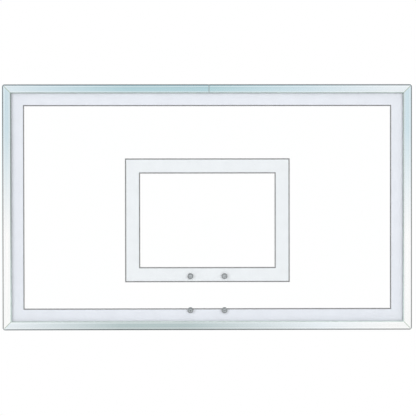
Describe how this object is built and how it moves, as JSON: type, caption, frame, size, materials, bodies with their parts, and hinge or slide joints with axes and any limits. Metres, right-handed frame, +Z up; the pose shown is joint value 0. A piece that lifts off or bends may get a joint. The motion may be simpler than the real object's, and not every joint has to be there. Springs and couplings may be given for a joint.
{
  "type": "basketball backboard",
  "caption": "Clear glass basketball backboard in a mitred aluminium channel frame, with printed border and target, tapped rim fittings and rear mounting brackets.",
  "frame": {"origin": "middle of the four rear mounting slots, on the plane of the bracket tabs that meets the support; it is behind the middle of the board", "axes": "+X to the right as seen from the front, +Y from the playing face to the rear, +Z up"},
  "size_m": [1.524, 0.0722, 0.9144],
  "materials": {
    "clear_glass": "clear tempered sheet with ground edges",
    "white_print": "white enamel fired onto the rear of the glass",
    "keyline_print": "grey enamel fired onto the rear of the glass",
    "frame_aluminium": "satin clear anodised extrusion",
    "gasket_rubber": "matt grey",
    "grommet_rubber": "matt grey",
    "rim_nut_steel": "turned, zinc plated",
    "key_aluminium": "mill finish",
    "fastener_steel": "bright zinc plated",
    "nut_plate_steel": "zinc plated",
    "bracket_steel": "galvanised"
  },
  "bodies": {
    "root": {"border_keyline": "keyline_print", "border_marking": "white_print", "bottom_gasket": "gasket_rubber", "bottom_rail": "frame_aluminium", "bracket_bolts": "fastener_steel", "bracket_nut_plates": "nut_plate_steel", "bracket_washers": "fastener_steel", "corner_key_screws": "fastener_steel", "glass_panel": "clear_glass", "left_gasket": "gasket_rubber", "left_rail": "frame_aluminium", "lower_left_corner_key": "key_aluminium", "lower_left_mounting_bracket": "bracket_steel", "lower_left_rim_barrel_nut": "rim_nut_steel", "lower_left_rim_grommet_front": "grommet_rubber", "lower_left_rim_grommet_rear": "grommet_rubber", "lower_right_corner_key": "key_aluminium", "lower_right_mounting_bracket": "bracket_steel", "lower_right_rim_barrel_nut": "rim_nut_steel", "lower_right_rim_grommet_front": "grommet_rubber", "lower_right_rim_grommet_rear": "grommet_rubber", "right_gasket": "gasket_rubber", "right_rail": "frame_aluminium", "splice_screws": "fastener_steel", "target_inner_keyline": "keyline_print", "target_marking": "white_print", "target_outer_keyline": "keyline_print", "top_gasket": "gasket_rubber", "top_left_rail": "frame_aluminium", "top_right_rail": "frame_aluminium", "top_splice_bar": "key_aluminium", "upper_left_corner_key": "key_aluminium", "upper_left_mounting_bracket": "bracket_steel", "upper_left_rim_barrel_nut": "rim_nut_steel", "upper_left_rim_grommet_front": "grommet_rubber", "upper_left_rim_grommet_rear": "grommet_rubber", "upper_right_corner_key": "key_aluminium", "upper_right_mounting_bracket": "bracket_steel", "upper_right_rim_barrel_nut": "rim_nut_steel", "upper_right_rim_grommet_front": "grommet_rubber", "upper_right_rim_grommet_rear": "grommet_rubber"}
  },
  "joints": []
}
